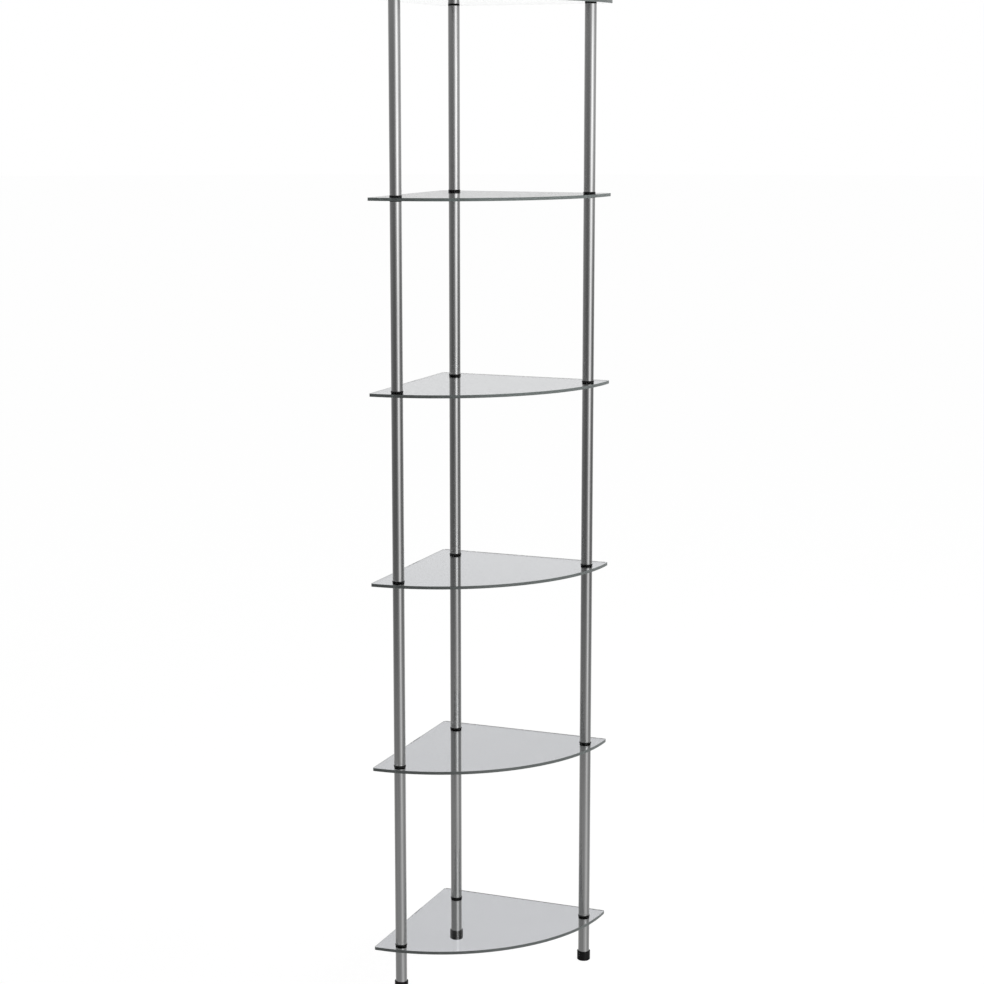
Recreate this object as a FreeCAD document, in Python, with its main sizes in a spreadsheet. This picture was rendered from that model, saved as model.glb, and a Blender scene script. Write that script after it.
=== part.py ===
"""Corner shelving unit: quarter-round glass shelves carried on three posts of screwed-together steel tube.

The unit stands in the corner of a room. +Z is up, and the origin is on the floor under the middle of the
square that the shelves fill. One wall runs along X behind the unit and the other along Y to its left, so the
corner of the room is at (-shelf_side / 2, +shelf_side / 2). Every length is in millimetres.

Each post is a stack: foot, leg tube, then at every shelf a rubber washer, the glass, a collar whose spigot
lines the hole in the glass, and the next tube or, at the top, a cap. A threaded stud runs through each of
these joints and screws into a plug pressed into the end of the tube on either side, which clamps the glass
between washer and collar.
"""

import FreeCAD, Part
import math
import os

import Sketcher
from FreeCAD import Vector

SHELF_COUNT = 6

# How closely an edge that is looked for has to agree in size and place, as a share of the size looked for.
MATCH_SHARE = 1e-6

# The driving dimensions: alias, value in millimetres, meaning.
DIMENSIONS = (
    ("shelf_side", 300.0, "straight wall edge of a shelf, and the radius of its round front"),
    ("glass_thickness", 5.0, "toughened glass of a shelf"),
    ("corner_radius", 6.0, "rounding of the shelf's rear corner"),
    ("tip_radius", 3.0, "rounding where a wall edge meets the round front"),
    ("glass_arris", 0.6, "bevel ground along every edge of the glass"),
    ("post_inset", 38.0, "post axis to the wall edge that it stands beside"),
    ("tip_setback", 24.5, "side post axis to the end of its wall edge, along that edge"),
    ("tube_diameter", 19.0, "outside of the leg and upright tubes"),
    ("tube_wall", 1.0, "wall of the tubes"),
    ("tube_edge_break", 0.3, "bevel on the cut ends of the tubes"),
    ("upright_length", 298.5, "tube between two shelves"),
    ("leg_length", 68.5, "tube between a foot and the lowest shelf"),
    ("collar_height", 3.0, "flange of a collar above the glass"),
    ("collar_overhang", 0.5, "how far a collar stands proud of its tube"),
    ("collar_edge_radius", 0.6, "rounding of a collar's rim"),
    ("spigot_wall", 1.5, "wall of the spigot that lines the hole in the glass"),
    ("spigot_clearance", 0.25, "gap between spigot and glass, on the radius"),
    ("spigot_end_gap", 0.5, "gap between the end of the spigot and the underside of the glass"),
    ("washer_thickness", 1.5, "rubber washer under the glass"),
    ("stud_diameter", 8.0, "threaded stud, over its thread"),
    ("stud_clearance", 0.25, "gap between stud and collar or washer, on the radius"),
    ("stud_engagement", 15.0, "length of stud inside a plug"),
    ("stud_bevel", 0.8, "bevel on the ends of a stud"),
    ("plug_length", 20.0, "threaded plug inside a tube end"),
    ("plug_bevel", 0.6, "lead-in bevel of a plug"),
    ("fit_gap", 0.05, "gap of a pressed or screwed fit, on the radius"),
    ("cap_height", 9.0, "cap above the top collar"),
    ("cap_crown", 2.5, "metal left between a cap's thread and its top"),
    ("cap_edge_radius", 1.6, "rounding of a cap's top edge"),
    ("cap_end_gap", 0.5, "gap between the end of the top stud and the bottom of the cap's thread"),
    ("foot_height", 16.0, "foot, from the floor to its rim"),
    ("foot_floor", 3.0, "plastic under the end of the leg tube"),
    ("foot_wall", 1.7, "wall of the foot round the leg tube"),
    ("foot_heel_radius", 1.6, "rounding where the foot meets the floor"),
    ("foot_rim_radius", 0.5, "rounding of the foot's rim"),
)

# Sizes and heights that follow from the driving dimensions, as expressions on the sheet.
SIDE_REACH = "(dims.shelf_side - dims.tip_setback)"
TUBE_BORE = "(dims.tube_diameter - 2 * dims.tube_wall)"
STUD_HOLE = "(dims.stud_diameter + 2 * dims.stud_clearance)"
SPIGOT_DIAMETER = f"({STUD_HOLE} + 2 * dims.spigot_wall)"
GLASS_HOLE = f"({SPIGOT_DIAMETER} + 2 * dims.spigot_clearance)"
COLLAR_DIAMETER = "(dims.tube_diameter + 2 * dims.collar_overhang)"
THREAD_BORE = "(dims.stud_diameter + 2 * dims.fit_gap)"
PLUG_DIAMETER = f"({TUBE_BORE} - 2 * dims.fit_gap)"
FOOT_SOCKET = "(dims.tube_diameter + 2 * dims.fit_gap)"
FOOT_DIAMETER = f"({FOOT_SOCKET} + 2 * dims.foot_wall)"
CAP_THREAD_DEPTH = "(dims.cap_height - dims.cap_crown)"
JOINT_HEIGHT = "(dims.washer_thickness + dims.glass_thickness + dims.collar_height)"
TIER_PITCH = f"({JOINT_HEIGHT} + dims.upright_length)"
LEG_TOP = "(dims.foot_floor + dims.leg_length)"

# Where each post stands: to the right of the room's corner, and in front of it.
POSTS = {
    "rear": ("dims.post_inset", "dims.post_inset"),
    "left": ("dims.post_inset", SIDE_REACH),
    "right": (SIDE_REACH, "dims.post_inset"),
}
ORIGIN = ("0", "0")

doc = FreeCAD.newDocument("corner_shelving_unit")


def make_sheet():
    """Fills the sheet that every other object takes its sizes from."""
    sheet = doc.addObject("Spreadsheet::Sheet", "dims")
    for row, (alias, size, meaning) in enumerate(DIMENSIONS, start=1):
        sheet.set(f"A{row}", meaning)
        sheet.set(f"B{row}", str(size))
        sheet.setAlias(f"B{row}", alias)
    doc.recompute()
    return sheet


SHEET = make_sheet()


def value(expression):
    """The number that an expression on the sheet has now."""
    return float(SHEET.evalExpression(expression))


def joint_base(level):
    """Height of the underside of the joint at a shelf, counted from 1 at the bottom."""
    return f"({LEG_TOP} + {level - 1} * {TIER_PITCH})"


def glass_base(level):
    """Height of the underside of a shelf's glass."""
    return f"({joint_base(level)} + dims.washer_thickness)"


def glass_top(level):
    """Height of the upper face of a shelf's glass."""
    return f"({glass_base(level)} + dims.glass_thickness)"


def joint_top(level):
    """Height of the top of the collar at a shelf, where the next tube or the cap stands."""
    return f"({joint_base(level)} + {JOINT_HEIGHT})"


def new_body(label, height, place=ORIGIN):
    """A body whose own origin is at a place in plan, measured from the room's corner, and at a height."""
    right, front = place
    body = doc.addObject("PartDesign::Body", label)
    body.setExpression("Placement.Base.x", f"{right} - dims.shelf_side / 2")
    body.setExpression("Placement.Base.y", f"dims.shelf_side / 2 - {front}")
    body.setExpression("Placement.Base.z", height)
    return body


def new_sketch(body, name, height="0"):
    """A sketch flat on the body's XY plane, lifted by a height."""
    sketch = body.newObject("Sketcher::SketchObject", f"{body.Name}_{name}")
    plane = next(feature for feature in body.Origin.OriginFeatures if feature.Role == "XY_Plane")
    sketch.AttachmentSupport = [(plane, "")]
    sketch.MapMode = "FlatFace"
    sketch.setExpression("AttachmentOffset.Base.z", height)
    return sketch


def bind(sketch, expression, kind, *references):
    """Adds a dimension to a sketch and ties it to an expression on the sheet."""
    index = sketch.addConstraint(Sketcher.Constraint(kind, *references, value(expression)))
    sketch.setExpression(f"Constraints[{index}]", expression)


def circle_sketch(body, name, places, diameters, height="0"):
    """A sketch with circles of the given diameters, one inside the other, at each place in plan."""
    sketch = new_sketch(body, name, height)
    for place in places:
        right, front = place
        centre = Vector(value(right), -value(front), 0)
        for diameter in diameters:
            circle = Part.Circle(centre, Vector(0, 0, 1), value(diameter) / 2)
            index = sketch.addGeometry(circle, False)
            bind(sketch, diameter, "Diameter", index)
            if place == ORIGIN:
                sketch.addConstraint(Sketcher.Constraint("Coincident", index, 3, -1, 1))
            else:
                bind(sketch, right, "DistanceX", -1, 1, index, 3)
                bind(sketch, front, "DistanceY", index, 3, -1, 1)
    return sketch


def pad(body, sketch, length, down=False):
    """Extrudes a sketch upwards, or downwards, by a length."""
    feature = body.newObject("PartDesign::Pad", f"{sketch.Name}_pad")
    feature.Profile = sketch
    feature.Reversed = down
    feature.setExpression("Length", length)
    doc.recompute()
    return feature


def bore(body, sketch, depth=None):
    """Cuts a sketch upwards out of the body, to a depth or right through."""
    before = body.Shape.Volume
    feature = body.newObject("PartDesign::Pocket", f"{sketch.Name}_bore")
    feature.Profile = sketch
    feature.Reversed = True
    if depth is None:
        feature.Type = "ThroughAll"
    else:
        feature.setExpression("Length", depth)
    doc.recompute()
    if not body.Shape.Volume < before:
        raise RuntimeError(f"{feature.Name} cut nothing")
    return feature


def dress(body, kind, base, elements, size):
    """Rounds (Fillet) or bevels (Chamfer) edges, or all edges of faces, of the feature made last."""
    feature = body.newObject(f"PartDesign::{kind}", f"{base.Name}_{kind.lower()}")
    feature.Base = (base, elements)
    feature.setExpression("Radius" if kind == "Fillet" else "Size", size)
    doc.recompute()
    return feature


def named(kind, elements, wanted):
    """Names of the edges or faces that pass a test, such as Edge3."""
    return [f"{kind}{number}" for number, element in enumerate(elements, start=1) if wanted(element)]


def rims(feature, diameter, at=None):
    """Names of a feature's round edges of a diameter, all of them or only those at a height in the body."""
    radius = value(diameter) / 2

    def is_rim(edge):
        if not isinstance(edge.Curve, Part.Circle):
            return False
        if not math.isclose(edge.Curve.Radius, radius, rel_tol=MATCH_SHARE):
            return False
        return at is None or math.isclose(edge.Curve.Center.z, value(at), abs_tol=radius * MATCH_SHARE)

    return named("Edge", feature.Shape.Edges, is_rim)


def uprights_at(feature, right, front):
    """Names of a feature's upright straight edges at a place in plan."""
    spot = Vector(value(right), -value(front), 0)
    near = value("dims.shelf_side") * MATCH_SHARE

    def is_there(edge):
        first, last = edge.Vertexes[0].Point, edge.Vertexes[-1].Point
        flat = Vector(first.x, first.y, 0)
        return isinstance(edge.Curve, Part.Line) and flat.distanceToPoint(spot) < near and first.z != last.z

    return named("Edge", feature.Shape.Edges, is_there)


def level_faces(feature):
    """Names of a feature's flat faces that look straight up or down."""

    def is_level(face):
        if not isinstance(face.Surface, Part.Plane):
            return False
        return face.Surface.Axis.cross(Vector(0, 0, 1)).Length < MATCH_SHARE

    return named("Face", feature.Shape.Faces, is_level)


def make_shelf(level):
    """A quarter-round sheet of glass with a drilled hole for each post."""
    body = new_body(f"glass_shelf_{level}", glass_base(level))
    side = value("dims.shelf_side")
    corner, tip_right, tip_left = Vector(0, 0, 0), Vector(side, 0, 0), Vector(0, -side, 0)
    sketch = new_sketch(body, "outline")
    rear = sketch.addGeometry(Part.LineSegment(corner, tip_right), False)
    flank = sketch.addGeometry(Part.LineSegment(corner, tip_left), False)
    circle = Part.Circle(corner, Vector(0, 0, 1), side)
    front = sketch.addGeometry(Part.ArcOfCircle(circle, -math.pi / 2, 0), False)
    sketch.addConstraint([
        Sketcher.Constraint("Coincident", rear, 1, -1, 1),
        Sketcher.Constraint("Coincident", flank, 1, -1, 1),
        Sketcher.Constraint("Coincident", front, 3, -1, 1),
        Sketcher.Constraint("Coincident", front, 1, flank, 2),
        Sketcher.Constraint("Coincident", front, 2, rear, 2),
        Sketcher.Constraint("Horizontal", rear),
        Sketcher.Constraint("Vertical", flank),
    ])
    bind(sketch, "dims.shelf_side", "Radius", front)
    plate = pad(body, sketch, "dims.glass_thickness")
    cornered = dress(body, "Fillet", plate, uprights_at(plate, *ORIGIN), "dims.corner_radius")
    tips = uprights_at(cornered, "dims.shelf_side", "0") + uprights_at(cornered, "0", "dims.shelf_side")
    dress(body, "Fillet", cornered, tips, "dims.tip_radius")
    drilled = bore(body, circle_sketch(body, "holes", POSTS.values(), (GLASS_HOLE,)))
    dress(body, "Chamfer", drilled, level_faces(drilled), "dims.glass_arris")
    return body


def make_tube(label, post, base, length):
    """A length of steel tube with its cut ends bevelled."""
    body = new_body(label, base, POSTS[post])
    tube = pad(body, circle_sketch(body, "section", (ORIGIN,), ("dims.tube_diameter", TUBE_BORE)), length)
    dress(body, "Chamfer", tube, rims(tube, "dims.tube_diameter"), "dims.tube_edge_break")
    return body


def make_collars(level):
    """The collars on one shelf: a flange under the next tube, and a spigot down the hole in the glass."""
    body = new_body(f"collars_{level}", glass_top(level))
    flange = circle_sketch(body, "flange", POSTS.values(), (COLLAR_DIAMETER, STUD_HOLE))
    pad(body, flange, "dims.collar_height")
    spigot = circle_sketch(body, "spigot", POSTS.values(), (SPIGOT_DIAMETER, STUD_HOLE))
    collar = pad(body, spigot, "dims.glass_thickness - dims.spigot_end_gap", down=True)
    dress(body, "Fillet", collar, rims(collar, COLLAR_DIAMETER), "dims.collar_edge_radius")
    return body


def make_washers(level):
    """The rubber washers between the glass of one shelf and the tubes below it."""
    body = new_body(f"washers_{level}", joint_base(level))
    section = circle_sketch(body, "section", POSTS.values(), ("dims.tube_diameter", STUD_HOLE))
    pad(body, section, "dims.washer_thickness")
    return body


def make_studs(level):
    """The threaded studs through one shelf, each from the plug below it into the plug or cap above it."""
    body = new_body(f"studs_{level}", f"{joint_base(level)} - dims.stud_engagement")
    above = f"({CAP_THREAD_DEPTH} - dims.cap_end_gap)" if level == SHELF_COUNT else "dims.stud_engagement"
    section = circle_sketch(body, "section", POSTS.values(), ("dims.stud_diameter",))
    stud = pad(body, section, f"dims.stud_engagement + {JOINT_HEIGHT} + {above}")
    dress(body, "Chamfer", stud, rims(stud, "dims.stud_diameter"), "dims.stud_bevel")
    return body


def make_plugs(label, base, inner_end):
    """The threaded plugs in one row of tube ends, bevelled at the end that goes into the tube first."""
    body = new_body(label, base)
    section = circle_sketch(body, "section", POSTS.values(), (PLUG_DIAMETER, THREAD_BORE))
    plug = pad(body, section, "dims.plug_length")
    dress(body, "Chamfer", plug, rims(plug, PLUG_DIAMETER, inner_end), "dims.plug_bevel")
    return body


def make_cap(post):
    """The steel cap on top of a post, threaded from below."""
    body = new_body(f"cap_{post}", joint_top(SHELF_COUNT), POSTS[post])
    pad(body, circle_sketch(body, "section", (ORIGIN,), ("dims.tube_diameter",)), "dims.cap_height")
    cap = bore(body, circle_sketch(body, "thread", (ORIGIN,), (THREAD_BORE,)), CAP_THREAD_DEPTH)
    top = rims(cap, "dims.tube_diameter", "dims.cap_height")
    rounded = dress(body, "Fillet", cap, top, "dims.cap_edge_radius")
    dress(body, "Chamfer", rounded, rims(rounded, "dims.tube_diameter", "0"), "dims.tube_edge_break")
    return body


def make_foot(post):
    """The plastic cup on the end of a leg tube."""
    body = new_body(f"foot_{post}", "0", POSTS[post])
    pad(body, circle_sketch(body, "section", (ORIGIN,), (FOOT_DIAMETER,)), "dims.foot_height")
    cup = bore(body, circle_sketch(body, "socket", (ORIGIN,), (FOOT_SOCKET,), "dims.foot_floor"))
    heeled = dress(body, "Fillet", cup, rims(cup, FOOT_DIAMETER, "0"), "dims.foot_heel_radius")
    dress(body, "Fillet", heeled, rims(heeled, FOOT_DIAMETER, "dims.foot_height"), "dims.foot_rim_radius")
    return body


def make_unit():
    """Every sub-part of the unit, from the floor up."""
    bodies = []
    for post in POSTS:
        bodies.append(make_foot(post))
        bodies.append(make_tube(f"leg_tube_{post}", post, "dims.foot_floor", "dims.leg_length"))
    for level in range(1, SHELF_COUNT + 1):
        plug_base = f"{joint_base(level)} - dims.plug_length"
        bodies.append(make_plugs(f"plugs_under_shelf_{level}", plug_base, "0"))
        bodies.append(make_washers(level))
        bodies.append(make_shelf(level))
        bodies.append(make_collars(level))
        bodies.append(make_studs(level))
        if level < SHELF_COUNT:
            bodies.append(make_plugs(f"plugs_over_shelf_{level}", joint_top(level), "dims.plug_length"))
            for post in POSTS:
                label = f"upright_{post}_{level}"
                bodies.append(make_tube(label, post, joint_top(level), "dims.upright_length"))
    for post in POSTS:
        bodies.append(make_cap(post))
    return bodies


def check(bodies):
    """Stops the build if any object failed, or a sub-part isn't made of sound solids."""
    doc.recompute()
    for item in doc.Objects:
        if "Invalid" in item.State or "Error" in item.State:
            raise RuntimeError(f"{item.Label} failed: {item.State}")
    for body in bodies:
        if body.Shape.isNull() or not body.Shape.isValid() or not body.Shape.Solids:
            raise RuntimeError(f"{body.Label} has no sound shape")


def export(bodies):
    """Writes each sub-part's shape to a file of its own, named by its label."""
    os.makedirs("parts", exist_ok=True)
    for body in bodies:
        body.Shape.exportStep(f"parts/{body.Label}.step")


unit = make_unit()
check(unit)
export(unit)
box = Part.makeCompound([body.Shape for body in unit]).BoundBox
solids = sum(len(body.Shape.Solids) for body in unit)
size = f"{box.XLength:.2f} x {box.YLength:.2f} x {box.ZLength:.2f} mm"
print(f"{len(unit)} sub-parts, {solids} solids, {size}")
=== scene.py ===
"""Dresses the corner glass shelving unit for its picture.

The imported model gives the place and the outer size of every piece. Each class below rebuilds the
pieces of one sub-assembly over the CAD nodes that they stand for, in a finer shape and with the
finish of the real thing. The studs and plugs inside the joints keep their CAD shapes and get a
finish only. All lengths are in metres.
"""

import logging
import math
from collections.abc import Sequence
from dataclasses import dataclass
from enum import Enum

import bmesh
import bpy
from mathutils import Matrix, Vector

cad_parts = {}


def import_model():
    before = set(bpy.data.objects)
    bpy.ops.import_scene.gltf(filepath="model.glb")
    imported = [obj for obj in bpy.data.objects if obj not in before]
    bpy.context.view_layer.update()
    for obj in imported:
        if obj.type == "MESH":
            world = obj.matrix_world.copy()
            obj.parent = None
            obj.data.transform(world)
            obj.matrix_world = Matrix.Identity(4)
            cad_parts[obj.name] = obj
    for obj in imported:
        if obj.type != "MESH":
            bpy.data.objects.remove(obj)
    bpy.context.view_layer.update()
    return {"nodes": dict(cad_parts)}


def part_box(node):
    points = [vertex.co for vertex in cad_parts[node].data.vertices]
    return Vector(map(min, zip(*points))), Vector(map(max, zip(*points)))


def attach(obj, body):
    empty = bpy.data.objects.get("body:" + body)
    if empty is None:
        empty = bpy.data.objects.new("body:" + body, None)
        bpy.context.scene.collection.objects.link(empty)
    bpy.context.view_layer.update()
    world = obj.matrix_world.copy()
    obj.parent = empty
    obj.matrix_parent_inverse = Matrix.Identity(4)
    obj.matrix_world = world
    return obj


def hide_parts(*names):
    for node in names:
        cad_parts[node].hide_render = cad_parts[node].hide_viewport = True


LOG = logging.getLogger("shelving_unit")
MM = 0.001
SHELF_COUNT = 6
UPRIGHT_COUNT = SHELF_COUNT - 1
FRAME_BODY = "root"
UP = Vector((0.0, 0.0, 1.0))
WRAP_MAP = "wrap"
TURNED_SEGMENTS = 96
ROUNDING_SEGMENTS = 4
SHARP_ANGLE = math.radians(38)
RIM_ANGLE = math.radians(80)
LEVEL_FACE = 0.9999
MERGE_DISTANCE = 1e-7
RIM_TOLERANCE = 0.01 * MM
WHITE = "#ffffff"
# The curve of sRGB: straight up to the knee, and a power above it.
SRGB_KNEE = 0.04045
SRGB_SLOPE = 12.92
SRGB_OFFSET = 0.055
SRGB_POWER = 2.4
# Most values of a noise pattern lie in this range.
NOISE_RANGE = {"From Min": 0.3, "From Max": 0.7}
# A Mix node takes two colours at these inputs, and gives their blend at this output.
FIRST_COLOUR = 6
SECOND_COLOUR = 7
BLENDED_COLOUR = 2


class Post(Enum):
    """The three posts, by where they stand on the quarter-round shelves."""

    REAR = "rear"
    LEFT = "left"
    RIGHT = "right"


class Slot(Enum):
    """The material slots of the finishes."""

    GLASS = "clear_glass"
    STEEL = "brushed_steel"
    COLLAR = "black_collar_plastic"
    WASHER = "black_rubber"
    FOOT = "black_foot_plastic"
    STUD = "zinc_plated_steel"
    PLUG = "plug_nylon"


class Run(Enum):
    """The two ways in which a run of tones lies on the walls of the set."""

    ROUND = "round"
    UPWARD = "upward"


Colour = tuple[float, float, float, float]
Size = tuple[float, float, float]
Range = tuple[float, float]
Tree = bpy.types.NodeTree
Node = bpy.types.Node
Socket = bpy.types.NodeSocket
Inputs = dict[str | int, object]
Material = bpy.types.Material
Palette = dict[Slot, Material]
Shape = bmesh.types.BMesh
Piece = bpy.types.Object


def linear(hex_colour: str) -> Colour:
    """Turns an sRGB hex colour to a linear one.

    Args:
        hex_colour: The colour, as "#rrggbb".

    Returns:
        Red, green and blue in linear light, and an alpha of 1.
    """
    tones = []
    for start in (1, 3, 5):
        channel = int(hex_colour[start : start + 2], 16) / 255
        if channel <= SRGB_KNEE:
            tones.append(channel / SRGB_SLOPE)
        else:
            tones.append(((channel + SRGB_OFFSET) / (1 + SRGB_OFFSET)) ** SRGB_POWER)
    red, green, blue = tones
    return red, green, blue, 1.0


def grey(tone: float) -> Colour:
    """Gives the grey of a linear tone."""
    return tone, tone, tone, 1.0


def add_node(tree: Tree, kind: str, inputs: Inputs | None = None, **settings: object) -> Node:
    """Adds a shader node with its settings, its values and its links.

    Args:
        tree: The node tree that gets the node.
        kind: The node's type, without its "ShaderNode" prefix.
        inputs: Values by input name or number. An output socket as the value is linked.
        **settings: The node's own properties.

    Returns:
        The new node.
    """
    node = tree.nodes.new("ShaderNode" + kind)
    for name, value in settings.items():
        setattr(node, name, value)
    for key, value in (inputs or {}).items():
        if isinstance(value, Socket):
            tree.links.new(value, node.inputs[key])
        else:
            node.inputs[key].default_value = value
    return node


def empty_tree(owner: Material | bpy.types.World) -> Tree:
    """Makes the node tree of a new material or world, with nothing in it.

    Args:
        owner: The material or world.

    Returns:
        Its node tree.
    """
    owner.use_nodes = True
    owner.node_tree.nodes.clear()
    return owner.node_tree


def stretched_noise(tree: Tree, size: Size, layers: float = 2.0) -> Socket:
    """Adds a noise pattern on Object coordinates whose spots have a real size.

    Args:
        tree: The node tree that gets the nodes.
        size: The size of a spot along X, Y and Z.
        layers: How many finer layers the noise has.

    Returns:
        The noise value's socket, from 0 to 1.
    """
    place = add_node(tree, "TexCoord").outputs["Object"]
    scale = tuple(1 / length for length in size)
    scaled = add_node(tree, "Mapping", {"Vector": place, "Scale": scale}).outputs["Vector"]
    noise = add_node(tree, "TexNoise", {"Vector": scaled, "Scale": 1.0, "Detail": layers})
    return noise.outputs["Fac"]


@dataclass(frozen=True)
class Finish:
    """A finish that one Principled shader gives, between two colours and two roughnesses."""

    name: str
    slot: Slot
    colours: tuple[str, str]
    roughness: Range

    def material(self) -> Material:
        """Makes the finish's material.

        Returns:
            The new material.
        """
        material = bpy.data.materials.new(self.name)
        tree = empty_tree(material)
        shader = add_node(tree, "BsdfPrincipled", self.surface(tree))
        add_node(tree, "OutputMaterial", {"Surface": shader.outputs["BSDF"], **self.inside(tree)})
        return material

    def surface(self, tree: Tree) -> Inputs:
        """Adds the patterns on the surface, in each finish its own way.

        Args:
            tree: The material's node tree.

        Returns:
            The inputs of the Principled shader.
        """
        raise NotImplementedError

    def inside(self, tree: Tree) -> Inputs:
        """Gives the output node's inputs for the inside of a piece. Most finishes have none."""
        return {}

    def colour(self, tree: Tree, share: Socket) -> Socket:
        """Blends the finish's two colours.

        Args:
            tree: The material's node tree.
            share: The share of the second colour.

        Returns:
            The blended colour's socket.
        """
        first, second = (linear(hex_colour) for hex_colour in self.colours)
        inputs = {"Factor": share, FIRST_COLOUR: first, SECOND_COLOUR: second}
        return add_node(tree, "Mix", inputs, data_type="RGBA").outputs[BLENDED_COLOUR]

    def dullness(self, tree: Tree, share: Socket) -> Socket:
        """Finds the roughness between the finish's two.

        Args:
            tree: The material's node tree.
            share: The share of the way to the second roughness.

        Returns:
            The roughness's socket.
        """
        low, high = self.roughness
        inputs = {"Value": share, "To Min": low, "To Max": high}
        return add_node(tree, "MapRange", inputs).outputs["Result"]


@dataclass(frozen=True)
class FloatGlass(Finish):
    """Toughened float glass, with edges that were ground to a fine matt surface.

    Its faces are clear and mirror flat, and only a wipe mark here and there dulls them. Light that
    goes in at an edge runs a long way through the sheet, whose iron takes out the red, and hardly
    any of it comes back. So from outside the edges are dull and dark with a touch of green, while
    from inside the sheet they let light pass. That darkness is painted into the edge colour as
    painted shade, and only its touch of green is the glass's own. The first colour is that of the
    faces, the second that of the edges, and the roughness is that of the edges.
    """

    name: str = "toughened_float_glass"
    slot: Slot = Slot.GLASS
    # The second, dark colour is painted shade for the light lost inside the sheet; its green is the
    # glass's own.
    colours: tuple[str, str] = ("#fafbfc", "#7c8281")
    roughness: Range = (0.315, 0.385)
    edge_slopes: Range = (0.6, 0.3)
    edge_clearness: float = 0.35
    wipe_mark: Size = (45 * MM, 70 * MM, 45 * MM)
    wiped_roughness: float = 0.012
    grind_mark: Size = (0.9 * MM, 0.9 * MM, 2.5 * MM)
    grind_depth: float = 0.02 * MM
    grind_strength: float = 0.2
    refraction: float = 1.52
    absorbed_light: str = "#5a8f86"
    absorption: float = 4.0

    def edge_share(self, tree: Tree) -> Socket:
        """Finds the edges of the sheet, seen from outside.

        The share grows from 0 to 1 as the upright part of the surface's direction falls from the
        first of the edge slopes to the second.

        Args:
            tree: The material's node tree.

        Returns:
            The socket, which is 1 there, and 0 on the faces and from inside.
        """
        geometry = add_node(tree, "NewGeometry").outputs
        level = add_node(tree, "SeparateXYZ", {"Vector": geometry["Normal"]}).outputs["Z"]
        flatness = add_node(tree, "Math", {0: level}, operation="ABSOLUTE").outputs[0]
        start, end = self.edge_slopes
        inputs = {"Value": flatness, "From Min": start, "From Max": end}
        upright = add_node(tree, "MapRange", inputs).outputs["Result"]
        inputs = {0: 1.0, 1: geometry["Backfacing"]}
        outside = add_node(tree, "Math", inputs, operation="SUBTRACT").outputs[0]
        inputs = {0: upright, 1: outside}
        return add_node(tree, "Math", inputs, operation="MULTIPLY").outputs[0]

    def surface(self, tree: Tree) -> Inputs:
        """Adds wipe marks on the faces, grinding on the edges, and the edges' painted shade.

        Args:
            tree: The material's node tree.

        Returns:
            The inputs of the Principled shader.
        """
        edge = self.edge_share(tree)
        inputs = {"Value": edge, "To Min": 1.0, "To Max": self.edge_clearness}
        clearness = add_node(tree, "MapRange", inputs).outputs["Result"]
        wiping = stretched_noise(tree, self.wipe_mark)
        inputs = {"Value": wiping, **NOISE_RANGE, "To Max": self.wiped_roughness}
        wiped = add_node(tree, "MapRange", inputs).outputs["Result"]
        grinding = stretched_noise(tree, self.grind_mark)
        share = add_node(tree, "MapRange", {"Value": grinding, **NOISE_RANGE}).outputs["Result"]
        inputs = {"Factor": edge, "A": wiped, "B": self.dullness(tree, share)}
        roughness = add_node(tree, "Mix", inputs).outputs[0]
        height = add_node(tree, "Math", {0: grinding, 1: edge}, operation="MULTIPLY").outputs[0]
        inputs = {"Height": height, "Strength": self.grind_strength, "Distance": self.grind_depth}
        bump = add_node(tree, "Bump", inputs).outputs["Normal"]
        return {
            # The edges take the dark colour: painted shade, with the glass's own green.
            "Base Color": self.colour(tree, edge),
            "Roughness": roughness,
            "IOR": self.refraction,
            "Normal": bump,
            "Transmission Weight": clearness,
        }

    def inside(self, tree: Tree) -> Inputs:
        """Adds the light that the glass absorbs.

        Args:
            tree: The material's node tree.

        Returns:
            The inputs of the output node.
        """
        inputs = {"Color": linear(self.absorbed_light), "Density": self.absorption}
        return {"Volume": add_node(tree, "VolumeAbsorption", inputs).outputs["Volume"]}


@dataclass(frozen=True)
class BrushedSteel(Finish):
    """Stainless steel tube, brushed along its length.

    The brushing leaves lines that run the whole length of a tube, so reflections spread round the
    tube and stay sharp along it. The real lines are about 0.1 mm wide. They are drawn 0.6 mm and
    2.2 mm wide, so that they show.
    """

    name: str = "brushed_stainless_steel"
    slot: Slot = Slot.STEEL
    colours: tuple[str, str] = ("#c2c2c2", "#adadad")
    roughness: Range = (0.136, 0.2125)
    line_directions: float = 0.55
    fine_line: Size = (0.6 * MM, 0.6 * MM, 90 * MM)
    broad_line: Size = (2.2 * MM, 2.2 * MM, 260 * MM)
    broad_share: float = 0.5
    line_depth: float = 0.02 * MM
    line_strength: float = 0.15

    def surface(self, tree: Tree) -> Inputs:
        """Adds the lines of the brushing.

        Args:
            tree: The material's node tree.

        Returns:
            The inputs of the Principled shader.
        """
        fine = stretched_noise(tree, self.fine_line)
        broad = stretched_noise(tree, self.broad_line)
        inputs = {"Factor": self.broad_share, "A": fine, "B": broad}
        lines = add_node(tree, "Mix", inputs).outputs[0]
        share = add_node(tree, "MapRange", {"Value": lines, **NOISE_RANGE}).outputs["Result"]
        inputs = {"Height": fine, "Strength": self.line_strength, "Distance": self.line_depth}
        bump = add_node(tree, "Bump", inputs).outputs["Normal"]
        around = add_node(tree, "Tangent", direction_type="UV_MAP", uv_map=WRAP_MAP)
        return {
            "Base Color": self.colour(tree, share),
            "Metallic": 1.0,
            "Roughness": self.dullness(tree, share),
            "Normal": bump,
            "Anisotropic": self.line_directions,
            "Tangent": around.outputs["Tangent"],
        }


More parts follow.
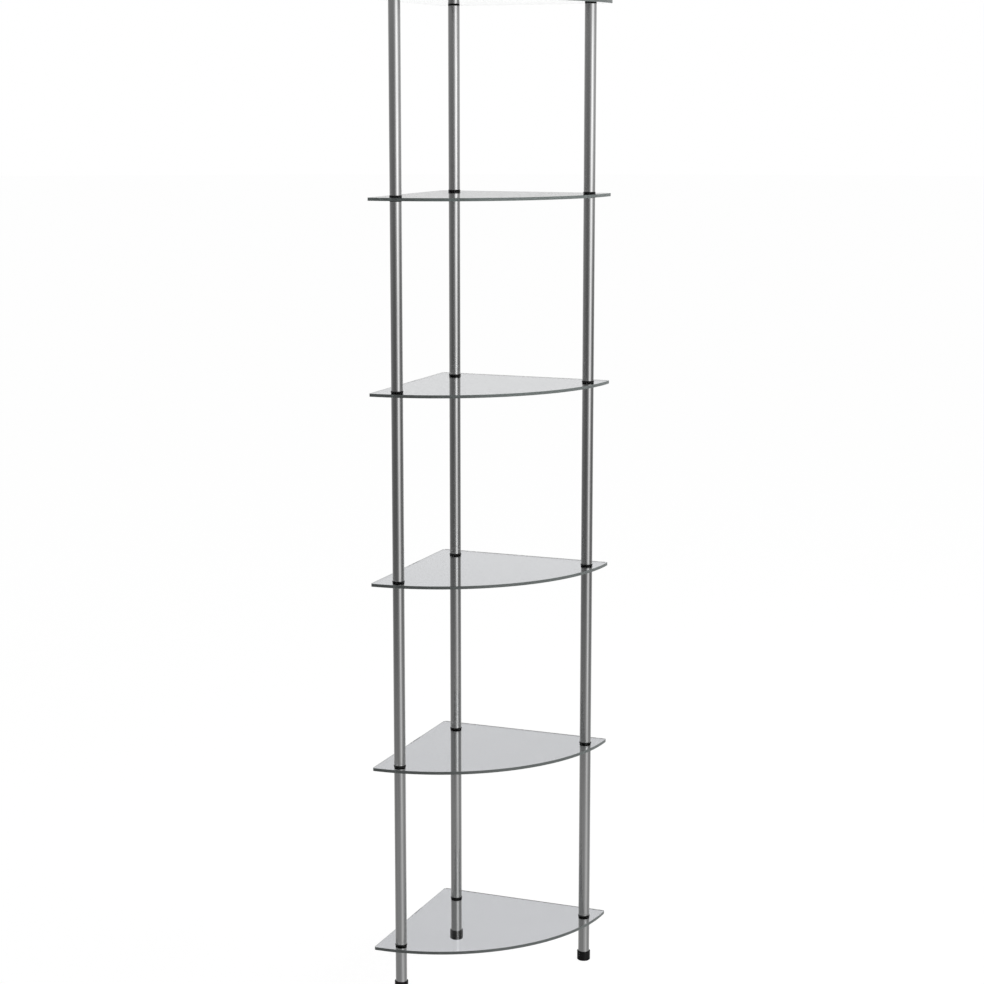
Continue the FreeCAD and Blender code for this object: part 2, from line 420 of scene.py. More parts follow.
@dataclass(frozen=True)
class Moulded(Finish):
    """A plastic or rubber: a plain colour, with a fine grain from its making and scuffs of use."""

    shine: float
    grain: float
    grain_depth: float
    scuff: float
    grain_strength: float = 0.3
    scuff_layers: float = 4.0

    def surface(self, tree: Tree) -> Inputs:
        """Adds the scuffs and the grain.

        Args:
            tree: The material's node tree.

        Returns:
            The inputs of the Principled shader.
        """
        scuffs = stretched_noise(tree, (self.scuff, self.scuff, self.scuff), self.scuff_layers)
        share = add_node(tree, "MapRange", {"Value": scuffs, **NOISE_RANGE}).outputs["Result"]
        grain = stretched_noise(tree, (self.grain, self.grain, self.grain))
        inputs = {"Height": grain, "Strength": self.grain_strength, "Distance": self.grain_depth}
        bump = add_node(tree, "Bump", inputs).outputs["Normal"]
        return {
            "Base Color": self.colour(tree, share),
            "Roughness": self.dullness(tree, share),
            "Normal": bump,
            "Specular IOR Level": self.shine,
        }


@dataclass(frozen=True)
class ZincPlate(Finish):
    """Zinc plated steel with a clear passivated skin.

    Bluish and straw coloured clouds show in the skin on bare threads.
    """

    name: str = "zinc_plated_steel"
    slot: Slot = Slot.STUD
    colours: tuple[str, str] = ("#bfc6cc", "#c9c3ae")
    roughness: Range = (0.289, 0.408)
    cloud: float = 5 * MM
    cloud_layers: float = 3.0

    def surface(self, tree: Tree) -> Inputs:
        """Adds the clouds.

        Args:
            tree: The material's node tree.

        Returns:
            The inputs of the Principled shader.
        """
        clouds = stretched_noise(tree, (self.cloud, self.cloud, self.cloud), self.cloud_layers)
        share = add_node(tree, "MapRange", {"Value": clouds, **NOISE_RANGE}).outputs["Result"]
        return {
            "Base Color": self.colour(tree, share),
            "Metallic": 1.0,
            "Roughness": self.dullness(tree, share),
        }


FINISHES = (
    FloatGlass(),
    BrushedSteel(),
    # Nylon collars come out of an eroded mould, which leaves them satin.
    Moulded(
        name="moulded_black_nylon",
        slot=Slot.COLLAR,
        colours=("#0a0a0b", "#111112"),
        roughness=(0.36, 0.48),
        shine=0.25,
        grain=0.5 * MM,
        grain_depth=0.02 * MM,
        scuff=6 * MM,
    ),
    # Rubber washers are cut from sheet: matt, with a pale bloom in places.
    Moulded(
        name="cut_rubber_sheet",
        slot=Slot.WASHER,
        colours=("#121212", "#1e1e1d"),
        roughness=(0.7, 0.85),
        shine=0.4,
        grain=0.4 * MM,
        grain_depth=0.03 * MM,
        scuff=4 * MM,
    ),
    # The feet come out of a polished mould, so they are glossy, and the floor scuffs them.
    Moulded(
        name="moulded_black_abs",
        slot=Slot.FOOT,
        colours=("#080809", "#0e0e0f"),
        roughness=(0.2, 0.34),
        shine=0.22,
        grain=1.2 * MM,
        grain_depth=0.01 * MM,
        scuff=9 * MM,
    ),
    # Natural nylon is an off-white that a mould leaves satin.
    Moulded(
        name="moulded_natural_nylon",
        slot=Slot.PLUG,
        colours=("#dcd5c3", "#cdc5b1"),
        roughness=(0.42, 0.55),
        shine=0.5,
        grain=0.6 * MM,
        grain_depth=0.02 * MM,
        scuff=7 * MM,
    ),
    ZincPlate(),
)


@dataclass(frozen=True)
class Corner:
    """A corner of a turned piece's half section.

    It says how far the corner is from the axis, how high it is, and how far it is rounded.
    """

    radius: float
    height: float
    rounding: float = 0.0


def turn(shape: Shape, axis: Vector, section: Sequence[Corner], closed: bool = True) -> None:
    """Turns a half section round an upright axis, and rounds the rims that its corners make.

    Args:
        shape: The mesh that gets the turned piece.
        axis: A point on the axis.
        section: The corners in order.
        closed: Whether the last corner joins the first. An open section starts and ends on the
            axis.
    """
    corners = []
    for corner in section:
        corners.append(shape.verts.new((axis.x + corner.radius, axis.y, corner.height)))
    joined = zip(corners, corners[1:] + corners[:1] if closed else corners[1:])
    lines = [shape.edges.new(ends) for ends in joined]
    bmesh.ops.spin(
        shape,
        geom=corners + lines,
        cent=(axis.x, axis.y, 0.0),
        axis=UP,
        angle=math.tau,
        steps=TURNED_SEGMENTS,
        use_merge=True,
    )
    bmesh.ops.remove_doubles(shape, verts=shape.verts[:], dist=MERGE_DISTANCE)
    bmesh.ops.recalc_face_normals(shape, faces=shape.faces[:])
    for corner in section:
        if corner.rounding:
            round_edges(shape, rim(shape, axis, corner), corner.rounding)


def rim(shape: Shape, axis: Vector, corner: Corner) -> list[bmesh.types.BMEdge]:
    """Finds the round edge that a corner of a half section made.

    Args:
        shape: The mesh.
        axis: A point on the axis of the turned piece.
        corner: The corner.

    Returns:
        The edges of the rim.
    """

    def on_rim(vertex: bmesh.types.BMVert) -> bool:
        """Tells whether a vertex lies on the rim."""
        aside = abs((vertex.co - axis).to_2d().length - corner.radius)
        return aside < RIM_TOLERANCE and abs(vertex.co.z - corner.height) < RIM_TOLERANCE

    return [edge for edge in shape.edges if all(on_rim(vertex) for vertex in edge.verts)]


def round_edges(shape: Shape, edges: list[bmesh.types.BMEdge], radius: float) -> None:
    """Rounds edges.

    Args:
        shape: The mesh.
        edges: Its edges to round.
        radius: The radius of the rounding.
    """
    bmesh.ops.bevel(
        shape,
        geom=edges,
        offset=radius,
        offset_type="OFFSET",
        affect="EDGES",
        segments=ROUNDING_SEGMENTS,
        profile=0.5,
        material=-1,
        clamp_overlap=True,
    )


def wrap(shape: Shape, axis: Vector) -> None:
    """Gives a turned piece a map whose first direction runs round it and whose second along it.

    Args:
        shape: The mesh.
        axis: A point on the axis of the turned piece.
    """
    layer = shape.loops.layers.uv.new(WRAP_MAP)
    for face in shape.faces:
        middle = face.calc_center_median() - axis
        facing = math.atan2(middle.y, middle.x)
        for loop in face.loops:
            place = loop.vert.co - axis
            reach = place.to_2d().length
            angle = math.atan2(place.y, place.x) if reach > MERGE_DISTANCE else facing
            turned = angle + math.tau * round((facing - angle) / math.tau)
            loop[layer].uv = (turned / math.tau, place.z + reach)


def make_piece(name: str, shape: Shape, slot: Slot, palette: Palette, node: str) -> Piece:
    """Makes a finished piece of a shape, in place of the CAD node that it stands for.

    Args:
        name: The piece's name.
        shape: Its shape, in the row frame, which this uses up.
        slot: The material slot of its finish.
        palette: The materials by slot.
        node: The CAD node that it stands for.

    Returns:
        The new piece.
    """
    shape.normal_update()
    for face in shape.faces:
        face.smooth = abs(face.normal.z) < LEVEL_FACE
    for edge in shape.edges:
        edge.smooth = edge.calc_face_angle(0.0) < SHARP_ANGLE
    mesh = bpy.data.meshes.new(name)
    shape.to_mesh(mesh)
    shape.free()
    mesh.materials.append(palette[slot])
    piece = bpy.data.objects.new(name, mesh)
    bpy.context.scene.collection.objects.link(piece)
    # Rounded edges take the tilt of their own small faces, so that the long faces beside them stay
    # straight in reflections.
    piece.modifiers.new("face_weighted_normals", "WEIGHTED_NORMAL").keep_sharp = True
    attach(piece, FRAME_BODY)
    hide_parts(node)
    return piece


def post_axis(post: Post) -> Vector:
    """Finds where a post stands, from its leg tube.

    Args:
        post: The post.

    Returns:
        The point of its axis on the floor.
    """
    low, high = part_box(f"leg_tube_{post.value}")
    middle = (low + high) / 2
    return Vector((middle.x, middle.y, 0.0))


@dataclass
class GlassShelf:
    """A quarter-round sheet of glass, with a drilled hole for each post."""

    level: int
    side: float = 300 * MM
    corner_radius: float = 6 * MM
    tip_radius: float = 3 * MM
    hole_radius: float = 6 * MM
    arris: float = 0.4 * MM
    arc_steps: int = 96
    corner_segments: int = 10
    hole_segments: int = 64

    def outline(self, shape: Shape, corner: Vector) -> None:
        """Draws the sheet's outline and its holes.

        Args:
            shape: The mesh that gets the edges.
            corner: Where the two straight sides meet.
        """
        tip = shape.verts.new(corner + Vector((self.side, 0.0, 0.0)))
        quarter = -math.pi / 2
        arc = bmesh.ops.spin(
            shape, geom=[tip], cent=corner, axis=UP, angle=quarter, steps=self.arc_steps
        )
        other_tip = arc["geom_last"][0]
        back = shape.verts.new(corner)
        shape.edges.new((back, tip))
        shape.edges.new((other_tip, back))
        bmesh.ops.contextual_create(shape, geom=shape.verts[:] + shape.edges[:])
        radii = {back: self.corner_radius, tip: self.tip_radius, other_tip: self.tip_radius}
        for vertex, radius in radii.items():
            bmesh.ops.bevel(
                shape,
                geom=[vertex],
                offset=radius,
                offset_type="OFFSET",
                affect="VERTICES",
                segments=self.corner_segments,
                profile=0.5,
                material=-1,
            )
        bmesh.ops.delete(shape, geom=shape.faces[:], context="FACES_ONLY")
        for post in Post:
            bmesh.ops.create_circle(
                shape,
                cap_ends=False,
                radius=self.hole_radius,
                segments=self.hole_segments,
                matrix=Matrix.Translation(post_axis(post) + UP * corner.z),
            )

    def build(self, palette: Palette) -> Piece:
        """Builds the sheet in place of its CAD node.

        Args:
            palette: The materials by slot.

        Returns:
            The new piece.
        """
        node = f"glass_shelf_{self.level}"
        low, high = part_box(node)
        shape = bmesh.new()
        self.outline(shape, Vector((low.x, high.y, low.z)))
        bmesh.ops.triangle_fill(shape, use_beauty=True, use_dissolve=False, edges=shape.edges[:])
        raised = bmesh.ops.extrude_face_region(shape, geom=shape.faces[:], use_keep_orig=True)
        risen = [part for part in raised["geom"] if isinstance(part, bmesh.types.BMVert)]
        bmesh.ops.translate(shape, verts=risen, vec=UP * (high.z - low.z))
        bmesh.ops.recalc_face_normals(shape, faces=shape.faces[:])
        rims = []
        for edge in shape.edges:
            start, end = edge.verts
            level = abs(start.co.z - end.co.z) < MERGE_DISTANCE
            if level and edge.calc_face_angle(0.0) > RIM_ANGLE:
                rims.append(edge)
        round_edges(shape, rims, self.arris)
        return make_piece(f"shelf_{self.level}_glass", shape, Slot.GLASS, palette, node)


@dataclass
class JointRings:
    """The black rings at one shelf's joints: collars on the glass, and washers under it."""

    level: int
    collar_radius: float = 10 * MM
    spigot_radius: float = 5.75 * MM
    bore_radius: float = 4.25 * MM
    flange_height: float = 3 * MM
    collar_rounding: float = 0.6 * MM
    spigot_rounding: float = 0.4 * MM
    washer_radius: float = 9.5 * MM
    washer_rounding: float = 0.3 * MM

    def build_rings(
        self, kind: str, section: Sequence[Corner], slot: Slot, palette: Palette
    ) -> Piece:
        """Turns one kind of ring at all three posts.

        Args:
            kind: The rings' plain name, which starts the name of their CAD node.
            section: Their half section.
            slot: The material slot of their finish.
            palette: The materials by slot.

        Returns:
            The new piece.
        """
        shape = bmesh.new()
        for post in Post:
            turn(shape, post_axis(post), section)
        name = f"shelf_{self.level}_{kind}"
        return make_piece(name, shape, slot, palette, f"{kind}_{self.level}")

    def build_collars(self, palette: Palette) -> Piece:
        """Builds the collars: a flange under the next tube, and a spigot down the glass hole.

        Args:
            palette: The materials by slot.

        Returns:
            The new piece.
        """
        low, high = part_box(f"collars_{self.level}")
        seat = high.z - self.flange_height
        section = (
            Corner(self.bore_radius, low.z),
            Corner(self.spigot_radius, low.z, self.spigot_rounding),
            Corner(self.spigot_radius, seat),
            Corner(self.collar_radius, seat, self.collar_rounding),
            Corner(self.collar_radius, high.z, self.collar_rounding),
            Corner(self.bore_radius, high.z),
        )
        return self.build_rings("collars", section, Slot.COLLAR, palette)

    def build_washers(self, palette: Palette) -> Piece:
        """Builds the washers between the glass and the tubes under it.

        Args:
            palette: The materials by slot.

        Returns:
            The new piece.
        """
        low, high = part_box(f"washers_{self.level}")
        section = (
            Corner(self.bore_radius, low.z),
            Corner(self.washer_radius, low.z, self.washer_rounding),
            Corner(self.washer_radius, high.z, self.washer_rounding),
            Corner(self.bore_radius, high.z),
        )
        return self.build_rings("washers", section, Slot.WASHER, palette)


@dataclass
class PostStack:
    """One post: a foot, a leg tube, the uprights between the shelves, and a cap."""

    post: Post
    tube_radius: float = 9.5 * MM
    tube_wall: float = 1 * MM
    tube_rounding: float = 0.3 * MM
    cap_rounding: float = 1.6 * MM
    cap_crown: float = 2.5 * MM
    thread_radius: float = 4.05 * MM
    foot_radius: float = 11.25 * MM
    foot_socket_radius: float = 9.55 * MM
    foot_floor: float = 3 * MM
    foot_heel_radius: float = 1.6 * MM
    foot_rim_radius: float = 0.5 * MM
    groove_height: float = 3.2 * MM
    groove_width: float = 0.7 * MM
    groove_depth: float = 0.35 * MM
    sole_ring_radius: float = 8 * MM
    sole_dish: float = 0.6 * MM

    def build_steel(
        self, name: str, section: Sequence[Corner], closed: bool, palette: Palette, node: str
    ) -> Piece:
        """Turns a steel piece and maps it for its brushing.

        Args:
            name: The piece's name.
            section: Its half section.
            closed: Whether the section closes on itself.
            palette: The materials by slot.
            node: The CAD node that it stands for.

        Returns:
            The new piece.
        """
        shape = bmesh.new()
        axis = post_axis(self.post)
        turn(shape, axis, section, closed)
        wrap(shape, axis)
        return make_piece(name, shape, Slot.STEEL, palette, node)

    def build_tube(self, name: str, palette: Palette, node: str) -> Piece:
        """Builds a length of tube with its end edges broken.

        Args:
            name: The piece's name.
            palette: The materials by slot.
            node: The CAD node that it stands for.

        Returns:
            The new piece.
        """
        low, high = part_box(node)
        inner = self.tube_radius - self.tube_wall
        section = (
            Corner(inner, low.z),
            Corner(self.tube_radius, low.z, self.tube_rounding),
            Corner(self.tube_radius, high.z, self.tube_rounding),
            Corner(inner, high.z),
        )
        return self.build_steel(name, section, True, palette, node)

    def build_cap(self, palette: Palette) -> Piece:
        """Builds the cap, which is threaded from below and rounded at its top.

        Args:
            palette: The materials by slot.

        Returns:
            The new piece.
        """
        node = f"cap_{self.post.value}"
        low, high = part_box(node)
        bore_end = high.z - self.cap_crown
        section = (
            Corner(0.0, bore_end),
            Corner(self.thread_radius, bore_end),
            Corner(self.thread_radius, low.z),
            Corner(self.tube_radius, low.z, self.tube_rounding),
            Corner(self.tube_radius, high.z, self.cap_rounding),
            Corner(0.0, high.z),
        )
        return self.build_steel(f"post_{self.post.value}_cap", section, False, palette, node)

    def build_foot(self, palette: Palette) -> Piece:
        """Builds the foot: a cup with a shadow groove above its heel and a dished sole.

        Args:
            palette: The materials by slot.

        Returns:
            The new piece.
        """
        node = f"foot_{self.post.value}"
        low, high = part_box(node)
        dish = low.z + self.sole_dish
        groove = low.z + self.groove_height
        groove_end = groove + self.groove_width
        groove_radius = self.foot_radius - self.groove_depth
        socket_end = low.z + self.foot_floor
        section = (
            Corner(0.0, dish),
            Corner(self.sole_ring_radius, dish),
            Corner(self.sole_ring_radius, low.z),
            Corner(self.foot_radius, low.z, self.foot_heel_radius),
            Corner(self.foot_radius, groove),
            Corner(groove_radius, groove),
            Corner(groove_radius, groove_end),
            Corner(self.foot_radius, groove_end),
            Corner(self.foot_radius, high.z, self.foot_rim_radius),
            Corner(self.foot_socket_radius, high.z, self.foot_rim_radius),
            Corner(self.foot_socket_radius, socket_end),
            Corner(0.0, socket_end),
        )
        shape = bmesh.new()
        turn(shape, post_axis(self.post), section, False)
        return make_piece(f"post_{self.post.value}_foot", shape, Slot.FOOT, palette, node)

    def build(self, palette: Palette) -> list[Piece]:
        """Builds the whole post from the floor up.

        Args:
            palette: The materials by slot.

        Returns:
            The new pieces.
        """
        post = self.post.value
        pieces = [
            self.build_foot(palette),
            self.build_tube(f"post_{post}_leg", palette, f"leg_tube_{post}"),
        ]
        for tier in range(1, UPRIGHT_COUNT + 1):
            name = f"post_{post}_upright_{tier}"
            pieces.append(self.build_tube(name, palette, f"upright_{post}_{tier}"))
        pieces.append(self.build_cap(palette))
        return pieces


@dataclass
class HiddenFittings:
    """The studs and plugs inside the joints, which keep their CAD shapes."""

    nodes: dict[str, Piece]

    def dress(self, palette: Palette) -> list[Piece]:
        """Gives every stud and plug its finish.

        Args:
            palette: The materials by slot.

        Returns:
            The dressed CAD nodes.
        """
        dressed = []
        for start, slot in (("studs_", Slot.STUD), ("plugs_", Slot.PLUG)):
            for name in sorted(node for node in self.nodes if node.startswith(start)):
                for place in self.nodes[name].material_slots:
                    place.material = palette[slot]
                dressed.append(self.nodes[name])
        return dressed


@dataclass
class PhotoCamera:
    """The camera where the photograph was taken from, with its middle on the picture's middle."""

    place: tuple[float, float, float] = (1.32046, -3.30269, 1.46294)
    yaw: float = 21.79
    pitch: float = 10.11
    focal_length_px: float = 2210.06
    picture_width_px: float = 984.0
    sensor_width_mm: float = 36.0
    clip_end: float = 200.0

    def back(self) -> Vector:
        """Gives the direction from the object to the camera.

        Returns:
            The direction, of length 1.
        """
        yaw = math.radians(self.yaw)
        pitch = math.radians(self.pitch)
        level = math.cos(pitch)
        return Vector((math.sin(yaw) * level, -math.cos(yaw) * level, math.sin(pitch)))

    def build(self) -> None:
        """Builds the camera and makes it the scene's own."""
        data = bpy.data.cameras.new("photo_camera")
        data.sensor_width = self.sensor_width_mm
        data.lens = self.focal_length_px / self.picture_width_px * self.sensor_width_mm
        data.clip_end = self.clip_end
        camera = bpy.data.objects.new("photo_camera", data)
        camera.location = self.place
        camera.rotation_euler = (-self.back()).to_track_quat("-Z", "Y").to_euler()
        bpy.context.scene.collection.objects.link(camera)
        bpy.context.scene.camera = camera


# Places round the set, in degrees from the camera's side. They run from straight behind the object,
# by its left and past the camera, to straight behind it again. A tall soft box stands at 31 to 48.
WALL_PLACES = (-180.0, -95.0, -45.0, -14.0, 13.0, 31.0, 48.0, 66.0, 92.0, 180.0)
LOW_WALL = (0.8, 0.34, 0.38, 0.37, 0.55, 0.85, 0.78, 0.52, 0.4, 0.8)
# Tones at these places, by the angle above the horizon.
WALL_TONES = {
    -42.0: (0.85,) * len(WALL_PLACES),
    -25.0: LOW_WALL,
    -18.0: LOW_WALL,
    -10.5: (0.8, 0.17, 0.13, 0.13, 0.45, 1.55, 0.8, 0.25, 0.14, 0.9),
    -3.7: (0.8, 0.3, 0.15, 0.13, 0.6, 1.85, 1.35, 0.4, 0.12, 0.9),
    1.5: (0.8, 0.3, 0.25, 0.25, 0.6, 1.8, 2.8, 1.45, 0.6, 0.9),
    8.0: (0.8, 0.28, 0.24, 0.22, 0.45, 2.6, 0.9, 0.35, 0.28, 0.8),
    20.0: (0.8, 0.12, 0.1, 0.08, 0.6, 2.3, 0.5, 0.12, 0.1, 0.8),
}
# Tones of the backdrop by the angle above the horizon. It is darkest at 30 degrees, and above that
# a pale ceiling follows.
BACK_TONES = (
    (-20.0, 1.0),
    (-1.0, 1.1),
    (1.0, 0.74),
    (2.5, 0.71),
    (7.4, 0.7),
    (12.2, 0.62),
    (16.9, 0.32),
    (21.3, 0.11),
    (30.0, 0.06),
    (45.0, 0.4),
    (60.0, 0.8),
)
# How much of the walls is backdrop, by the place round the set.
BACK_SHARE = (
    (-180.0, 1.0),
    (-160.0, 1.0),
    (-140.0, 0.0),
    (140.0, 0.0),
    (160.0, 1.0),
    (180.0, 1.0),
)
FULL_TURN = 360.0
STRAIGHT_UP = 90.0
RAMP_MIDDLE = 0.5


@dataclass
class Studio:
    """A white set: a pale floor, a white surround, a tall soft lamp, and dim walls.

    The walls stand in for the studio round the set, and only reflections show them. Steel and glass
    would be blank without them.
    """

    camera: PhotoCamera
    floor_radius: float = 40.0
    floor_segments: int = 64
    floor_colour: str = "#efefee"
    floor_glow: float = 0.88
    floor_white: float = 1.09
    floor_through_glass: str = "#e9e9ec"
    wall_radius: float = 60.0
    wall_segments: tuple[int, int] = (64, 32)
    upper_wall: float = 0.75
    upper_wall_angles: Range = (4.0, 8.0)
    ambient: float = 0.3
    lamp_turn: float = 82.0
    lamp_distance: float = 3.0
    lamp_height: float = 1.75
    lamp_size: tuple[float, float] = (2.1, 2.5)
    lamp_power: float = 75.0

    def shown(self, tree: Tree, glossy: bool) -> Socket:
        """Finds the rays that show the background, from the camera or through glass.

        Args:
            tree: The node tree that gets the nodes.
            glossy: Whether rays off metal and glass count too.

        Returns:
            The socket, which is 1 for such a ray and 0 for others.
        """
        path = add_node(tree, "LightPath").outputs
        inputs = {0: path["Is Camera Ray"], 1: path["Is Transmission Ray"]}
        seen = add_node(tree, "Math", inputs, operation="MAXIMUM").outputs[0]
        if glossy:
            inputs = {0: seen, 1: path["Is Glossy Ray"]}
            seen = add_node(tree, "Math", inputs, operation="MAXIMUM").outputs[0]
        return seen

    def reflected(self, tree: Tree, times: int = 1) -> Socket:
        """Finds the rays that have come off metal or glass, even if they then went through glass.

        Args:
            tree: The node tree that gets the nodes.
            times: How many times they must have done so.

        Returns:
            The socket, which is 1 for such a ray and 0 for others.
        """
        depth = add_node(tree, "LightPath").outputs["Glossy Depth"]
        inputs = {0: depth, 1: times - 0.5}
        return add_node(tree, "Math", inputs, operation="GREATER_THAN").outputs[0]

    def end_material(self, tree: Tree, seen: Socket, mirrored: Socket) -> None:
        """Ends a material of the set, which reflections show in another way.

        Args:
            tree: The material's node tree.
            seen: The shader for all other rays.
            mirrored: The shader for rays that have come off metal or glass.
        """
        inputs = {0: self.reflected(tree), 1: seen, 2: mirrored}
        mixed = add_node(tree, "MixShader", inputs)
        add_node(tree, "OutputMaterial", {"Surface": mixed.outputs[0]})

    def add_stage(self, name: str, shape: Shape, material: Material) -> Piece:
        """Adds a piece of the set, which isn't part of the object.

        Args:
            name: Its name.
            shape: Its shape, which this uses up.
            material: Its material, whose glow isn't sampled as a lamp.

        Returns:
            The new piece.
        """
        material.cycles.emission_sampling = "NONE"
        mesh = bpy.data.meshes.new(name)
        shape.to_mesh(mesh)
        shape.free()
        mesh.materials.append(material)
        stage = bpy.data.objects.new(name, mesh)
        bpy.context.scene.collection.objects.link(stage)
        return stage

    def build_surround(self) -> None:
        """Builds the world: white where it shows, and a plain grey level of light on the object."""
        world = bpy.data.worlds.new("white_surround")
        tree = empty_tree(world)
        inputs = {"Value": self.shown(tree, True), "To Min": self.ambient, "To Max": 1.0}
        level = add_node(tree, "MapRange", inputs).outputs["Result"]
        light = add_node(tree, "Background", {"Color": linear(WHITE), "Strength": level})
        add_node(tree, "OutputWorld", {"Surface": light.outputs["Background"]})
        bpy.context.scene.world = world

    def build_floor(self) -> None:
        """Builds the pale floor, which shows white but for the object's own faint shadow."""
        material = bpy.data.materials.new("pale_floor")
        tree = empty_tree(material)
        paper = add_node(tree, "BsdfDiffuse", {"Color": linear(self.floor_colour)})
        direct = add_node(tree, "LightPath").outputs["Is Camera Ray"]
        inputs = {
            "Factor": direct,
            FIRST_COLOUR: linear(self.floor_through_glass),
            SECOND_COLOUR: linear(WHITE),
        }
        colour = add_node(tree, "Mix", inputs, data_type="RGBA").outputs[BLENDED_COLOUR]
        inputs = {"Value": direct, "To Min": 1.0, "To Max": self.floor_white}
        level = add_node(tree, "MapRange", inputs).outputs["Result"]
        glow = add_node(tree, "Emission", {"Color": colour, "Strength": level})
        inputs = {0: self.shown(tree, False), 1: self.floor_glow}
        share = add_node(tree, "Math", inputs, operation="MULTIPLY").outputs[0]
        mixed = add_node(tree, "MixShader", {0: share, 1: paper.outputs[0], 2: glow.outputs[0]})
        clear = add_node(tree, "BsdfTransparent")
        self.end_material(tree, mixed.outputs[0], clear.outputs[0])
        shape = bmesh.new()
        bmesh.ops.create_circle(
            shape, cap_ends=True, radius=self.floor_radius, segments=self.floor_segments
        )
        floor = self.add_stage("floor", shape, material)
        floor.visible_glossy = False

    def tones(self, tree: Tree, value: Socket, stops: Sequence[Range], run: Run) -> Socket:
        """Adds a run of grey tones.

        Args:
            tree: The node tree that gets the node.
            value: Where in the run, from 0 to 1.
            stops: Places in degrees, from the camera's side or above the horizon, and the tones
                there.
            run: Whether the places lie round the set or above the horizon.

        Returns:
            The tone's socket.
        """
        ramp = add_node(tree, "ValToRGB", {"Fac": value})
        elements = ramp.color_ramp.elements
        while len(elements) < len(stops):
            elements.new(RAMP_MIDDLE)
        for element, (degrees, tone) in zip(elements, stops):
            if run is Run.ROUND:
                element.position = RAMP_MIDDLE + degrees / FULL_TURN
            else:
                element.position = RAMP_MIDDLE + math.sin(math.radians(degrees)) / 2
            element.color = grey(tone)
        return ramp.outputs["Color"]

    def risen(self, tree: Tree, height: Socket, start: float, end: float) -> Socket:
        """Finds how far a height on the walls lies between two angles.

        Args:
            tree: The node tree that gets the node.
            height: The height on the walls.
            start: The angle above the horizon, in degrees, at which the share is 0.
            end: The angle at which it is 1.

        Returns:
            The share's socket.
        """
        inputs = {
            "Value": height,
            "From Min": self.wall_radius * math.sin(math.radians(start)),
            "From Max": self.wall_radius * math.sin(math.radians(end)),
        }
        return add_node(tree, "MapRange", inputs).outputs["Result"]

    def front_tones(self, tree: Tree, azimuth: Socket, height: Socket) -> Socket:
        """Adds the tones of the walls in front of the object and at its sides.

        Args:
            tree: The node tree that gets the nodes.
            azimuth: Where round the set, from 0 to 1.
            height: The height on the walls.

        Returns:
            The tone's socket.
        """
        rows = {
            angle: self.tones(tree, azimuth, tuple(zip(WALL_PLACES, row)), Run.ROUND)
            for angle, row in WALL_TONES.items()
        }
        angles = tuple(rows)
        front = rows[angles[0]]
        for below, above in zip(angles, angles[1:]):
            share = self.risen(tree, height, below, above)
            inputs = {"Factor": share, FIRST_COLOUR: front, SECOND_COLOUR: rows[above]}
            front = add_node(tree, "Mix", inputs, data_type="RGBA").outputs[BLENDED_COLOUR]
        # High up, glass shows a pale wall, and the image of a post in the glass shows the tones.
        upper = self.risen(tree, height, *self.upper_wall_angles)
        inputs = {"Value": self.reflected(tree, 2), "To Min": upper, "To Max": 0.0}
        pale = add_node(tree, "MapRange", inputs).outputs["Result"]
        inputs = {"Factor": pale, FIRST_COLOUR: front, SECOND_COLOUR: grey(self.upper_wall)}
        return add_node(tree, "Mix", inputs, data_type="RGBA").outputs[BLENDED_COLOUR]

    def build_walls(self) -> None:
        """Builds the studio's dim walls, which only reflections show."""
        material = bpy.data.materials.new("dim_walls")
        tree = empty_tree(material)
        place = add_node(tree, "TexCoord").outputs["Object"]
        towards = self.camera.back()
        inputs = {"Vector": place, "Rotation": (0.0, 0.0, -math.atan2(towards.y, towards.x))}
        facing = add_node(tree, "Mapping", inputs).outputs["Vector"]
        gradient = add_node(tree, "TexGradient", {"Vector": facing}, gradient_type="RADIAL")
        azimuth = gradient.outputs["Fac"]
        height = add_node(tree, "SeparateXYZ", {"Vector": place}).outputs["Z"]
        front = self.front_tones(tree, azimuth, height)
        rise = self.risen(tree, height, -STRAIGHT_UP, STRAIGHT_UP)
        back = self.tones(tree, rise, BACK_TONES, Run.UPWARD)
        behind = self.tones(tree, azimuth, BACK_SHARE, Run.ROUND)
        inputs = {"Factor": behind, FIRST_COLOUR: front, SECOND_COLOUR: back}
        tone = add_node(tree, "Mix", inputs, data_type="RGBA").outputs[BLENDED_COLOUR]
        light = add_node(tree, "Emission", {"Color": tone, "Strength": 1.0})
        clear = add_node(tree, "BsdfTransparent")
        self.end_material(tree, clear.outputs[0], light.outputs[0])
        shape = bmesh.new()
        columns, rows = self.wall_segments
        bmesh.ops.create_uvsphere(
            shape, u_segments=columns, v_segments=rows, radius=self.wall_radius
        )
        walls = self.add_stage("dim_walls", shape, material)
        walls.visible_camera = False
        walls.visible_diffuse = False
        walls.visible_shadow = False

    def build_lamp(self) -> None:
        """Builds the tall soft lamp at the camera's right."""
        data = bpy.data.lights.new("tall_soft_lamp", "AREA")
        data.shape = "RECTANGLE"
        data.size, data.size_y = self.lamp_size
        data.energy = self.lamp_power
        lamp = bpy.data.objects.new("tall_soft_lamp", data)
        back = self.camera.back()
        level = Vector((back.x, back.y, 0.0)).normalized()
        level.rotate(Matrix.Rotation(math.radians(self.lamp_turn), 3, "Z"))
        lamp.location = level * self.lamp_distance + UP * self.lamp_height
        lamp.rotation_euler = (-level).to_track_quat("-Z", "Y").to_euler()
        lamp.visible_camera = False
        lamp.visible_transmission = False
        lamp.visible_glossy = False
        bpy.context.scene.collection.objects.link(lamp)

    def build(self) -> None:
        """Builds the whole set."""
        self.build_surround()
        self.build_floor()
        self.build_walls()
        self.build_lamp()
        bpy.context.scene.view_settings.view_transform = "Standard"


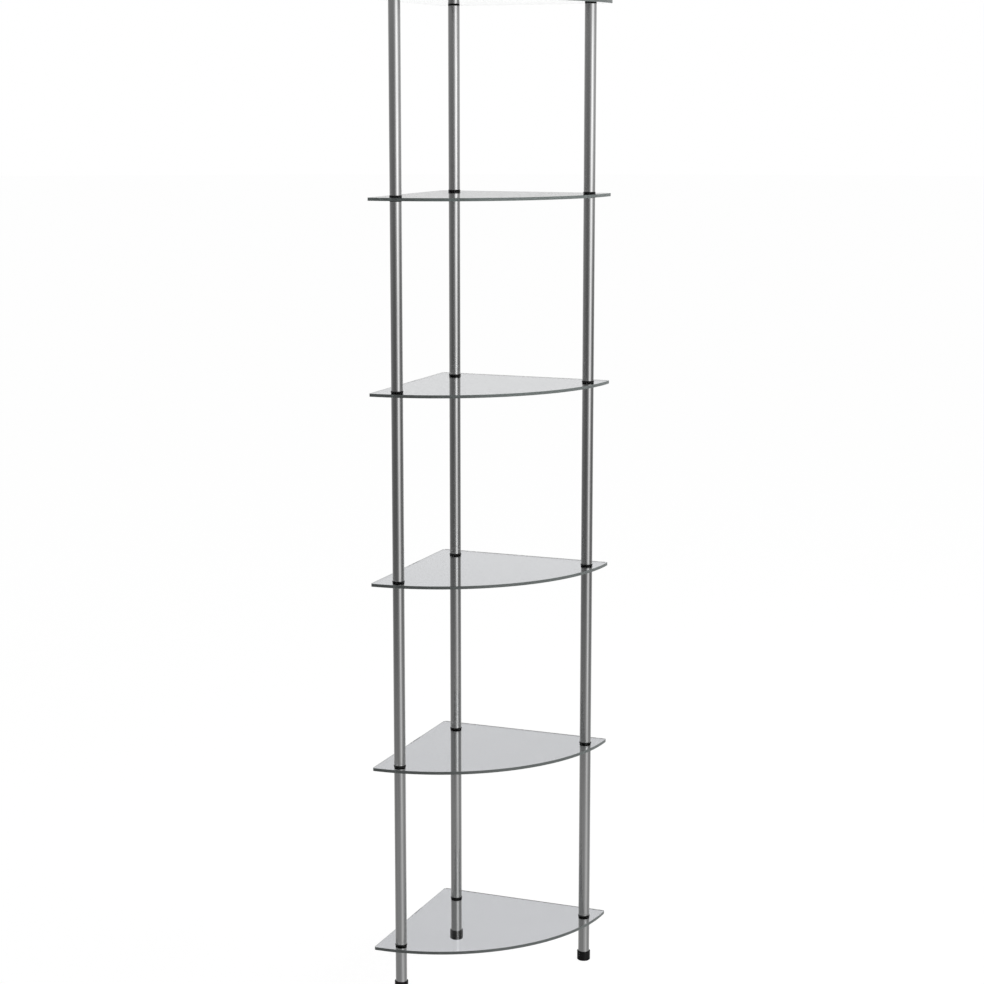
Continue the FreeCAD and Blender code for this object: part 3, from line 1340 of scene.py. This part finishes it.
def main() -> None:
    """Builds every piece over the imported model, reports them, and builds the camera and the set."""
    logging.basicConfig(level=logging.INFO, format="%(message)s")
    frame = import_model()
    palette = {finish.slot: finish.material() for finish in FINISHES}
    pieces: list[Piece] = []
    for post in Post:
        pieces += PostStack(post).build(palette)
    for level in range(1, SHELF_COUNT + 1):
        rings = JointRings(level)
        pieces.append(GlassShelf(level).build(palette))
        pieces.append(rings.build_collars(palette))
        pieces.append(rings.build_washers(palette))
    pieces += HiddenFittings(frame["nodes"]).dress(palette)
    for piece in pieces:
        finish = piece.material_slots[0].name
        LOG.info("%s: %d faces, %s", piece.name, len(piece.data.polygons), finish)
    camera = PhotoCamera()
    camera.build()
    Studio(camera).build()


if __name__ == "__main__":
    main()
